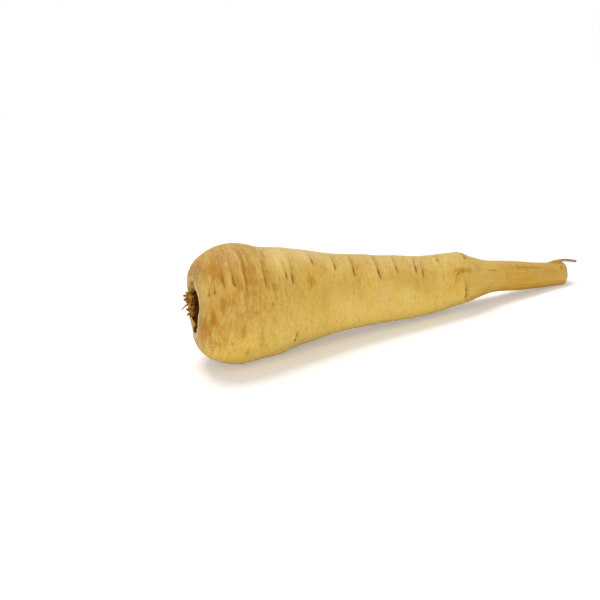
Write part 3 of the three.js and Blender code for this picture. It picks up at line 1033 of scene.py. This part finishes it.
def loose_fibre(x, width, thick, top, out, rng):
    """A fibre that lies on a stub and stands out over its torn top, in the stub's own frame."""
    part = np.linspace(0, 1, FIBRE_POINTS)
    low = top - rng.uniform(2.5, 5.0)
    high = torn_top(x, width, top) + rng.uniform(0.3, 1.3)
    drift = soften(rng.normal(0, 1, (FIBRE_POINTS, 2)), 3) * 0.35 * part[:, None]
    across = x * (1 - NARROWING * part**2) + drift[:, 0]
    face = rng.choice([-1, 1]) * thick * 0.45
    depth = face * (1 - 0.7 * part) - channelled(across, out) + drift[:, 1]
    line = np.stack([across, depth, low + (high - low) * part], 1)
    radii = rng.uniform(0.16, 0.30) * (1 - 0.6 * smooth(0.6, 1.0, part))
    points, faces = tube(line, radii, sides=7, flat=1.0, seed=int(rng.integers(1000)))
    return points, faces, float(np.clip(rng.normal(0.55, 0.3), 0, 1))


def stub_parts(key, width, thick, top, out):
    rng = np.random.default_rng(SEED * 31 + key)
    places = np.linspace(-0.42, 0.42, FIBRES) * width + rng.normal(0, 0.15, FIBRES)
    fibres = [loose_fibre(x, width, thick, top, out, rng) for x in places]
    return [stub_body(key, width, thick, top, out)] + fibres


def build_stubs(stalk, heart):
    for key, (name, (around, out, width, thick, top, lean)) in enumerate(STUBS.items()):
        # A tall stub's painted shade starts further down than a short one's.
        parts, shade_lift = [], -0.3 + 0.4 * top
        for points, faces, tone in stub_parts(key, width, thick, top, out):
            points = stub_to_crown(points, around, out, lean)
            parts.append((points, faces, {"tone": tone, "deep": points[:, 2] + shade_lift}))
        for owner, foot, tip, flat, tone, path in WISPS:
            if owner == name:
                line = curve_along(path, WISP_POINTS)
                radii = foot + (tip - foot) * np.linspace(0, 1, WISP_POINTS)
                points, faces = tube(line, radii, sides=8, flat=flat, seed=len(parts))
                # A wisp's painted shade starts 3 mm further down.
                parts.append((points, faces, {"tone": tone, "deep": points[:, 2] + 3.0}))
        points, faces, values = joined(parts)
        material, slot = (heart, "dry_heart") if name == "crown_heart" else (stalk, "dry_stalk")
        piece = new_object(name + "_strands", on_crown(points), faces, material, values)
        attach(piece, "root")
        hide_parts(name)


# ---- stage, light, camera

FLOOR_HALF = 8.0
FLOOR_COLOUR = (0.92, 0.92, 0.92)
FLOOR_GLOW = 0.25       # of white, and only as the camera sees it
FLOOR_FADE = (0.25, 0.9)    # between these distances it turns plain white for the camera
WORLD_LIGHT = 0.40      # how strongly the white world lights the object


def build_floor():
    """A pale floor with the object's shadow, which fades to plain white for the camera."""
    half = FLOOR_HALF
    corners = [(-half, -half, 0), (half, -half, 0), (half, half, 0), (-half, half, 0)]
    mesh = bpy.data.meshes.new("floor")
    mesh.from_pydata(corners, [], [(0, 1, 2, 3)])
    floor = linked(bpy.data.objects.new("floor", mesh))
    material = bpy.data.materials.new("pale_floor")
    material.use_nodes = True
    tree = material.node_tree
    tree.nodes.clear()
    node = partial(add_node, tree)
    seen = node("LightPath", {}, "Is Camera Ray")
    glow = node("Math", {0: seen, 1: FLOOR_GLOW}, operation="MULTIPLY")
    glowing = node("Emission", {"Strength": glow})
    matt = node("BsdfDiffuse", {"Color": FLOOR_COLOUR})
    near = node("AddShader", {0: matt, 1: glowing})
    place = node("TexCoord", {}, "Object")
    away = node("VectorMath", {0: place}, "Value", operation="LENGTH")
    fade = {"Value": away, "From Min": FLOOR_FADE[0], "From Max": FLOOR_FADE[1]}
    far = node("MapRange", fade, "Result", interpolation_type="SMOOTHSTEP")
    share = node("Math", {0: far, 1: seen}, operation="MULTIPLY")
    white = node("Emission", {})
    mixed = node("MixShader", {0: share, 1: near, 2: white})
    out = tree.nodes.new("ShaderNodeOutputMaterial")
    tree.links.new(mixed, out.inputs["Surface"])
    mesh.materials.append(material)


def build_world():
    """A white world at full strength to the camera and in reflections, weaker as a light."""
    world = bpy.data.worlds.new("studio")
    bpy.context.scene.world = world
    world.use_nodes = True
    tree = world.node_tree
    node = partial(add_node, tree)
    seen = node("LightPath", {}, "Is Camera Ray")
    for ray in ("Is Glossy Ray", "Is Transmission Ray"):
        other = node("LightPath", {}, ray)
        seen = node("Math", {0: seen, 1: other}, operation="MAXIMUM")
    strength = {"Value": seen, "To Min": WORLD_LIGHT, "To Max": 1.0}
    back = tree.nodes["Background"]
    put(tree, back.inputs["Color"], (1, 1, 1))
    put(tree, back.inputs["Strength"], node("MapRange", strength, "Result"))


LAMP_TARGET = (0.0, 0.0, 0.02)
# Place, diameter and power of each lamp.
LAMPS = {
    "top_softbox": ((-0.10, 0.35, 1.15), 0.7, 9.0),
    "front_softbox": ((-0.50, -1.20, 0.14), 0.4, 8.6),
}


def build_lamp(name, place, size, watts):
    lamp = bpy.data.lights.new(name, "AREA")
    lamp.shape = "DISK"
    lamp.size = size
    lamp.energy = watts
    made = linked(bpy.data.objects.new(name, lamp))
    made.location = place
    made.rotation_mode = "QUATERNION"
    made.rotation_quaternion = (Vector(LAMP_TARGET) - Vector(place)).to_track_quat("-Z", "Y")


CAMERA_PLACE = (-0.1635, -0.8402, 0.3031)
CAMERA_AIM = (-0.0467, 0.0081, 0.0223)
CAMERA_ROLL_DEG = 10.54
CAMERA_LENS = 99.26


def build_camera():
    data = bpy.data.cameras.new("camera")
    data.lens = CAMERA_LENS
    data.sensor_width = 36.0
    data.clip_start = 0.02
    camera = linked(bpy.data.objects.new("camera", data))
    forward = (Vector(CAMERA_AIM) - Vector(CAMERA_PLACE)).normalized()
    level = forward.cross(Vector((0, 0, 1))).normalized()
    upright = level.cross(forward)
    roll = math.radians(CAMERA_ROLL_DEG)
    right = math.cos(roll) * level - math.sin(roll) * upright
    up = math.sin(roll) * level + math.cos(roll) * upright
    turn = Matrix((right, up, -forward)).transposed().to_4x4()
    camera.matrix_world = Matrix.Translation(CAMERA_PLACE) @ turn
    bpy.context.scene.camera = camera


# ---- everything

bpy.context.scene.view_settings.view_transform = "Standard"
build_camera()
build_floor()
build_world()
for name, (place, size, watts) in LAMPS.items():
    build_lamp(name, place, size, watts)

build_root(
    skin_material("root_skin", SKIN_SPECULAR),
    skin_material("root_skin_matt", LINING_SPECULAR),
)
build_rootlet(dry_material("rootlet_skin", ROOTLET_PALE, ROOTLET_BROWN, STALK_BROWN))
build_stubs(
    dry_material("dry_stalk", STALK_PALE, STALK_BROWN, STALK_DARK),
    dry_material("dry_heart", HEART_PALE, STALK_DARK, HEART_DARK),
)
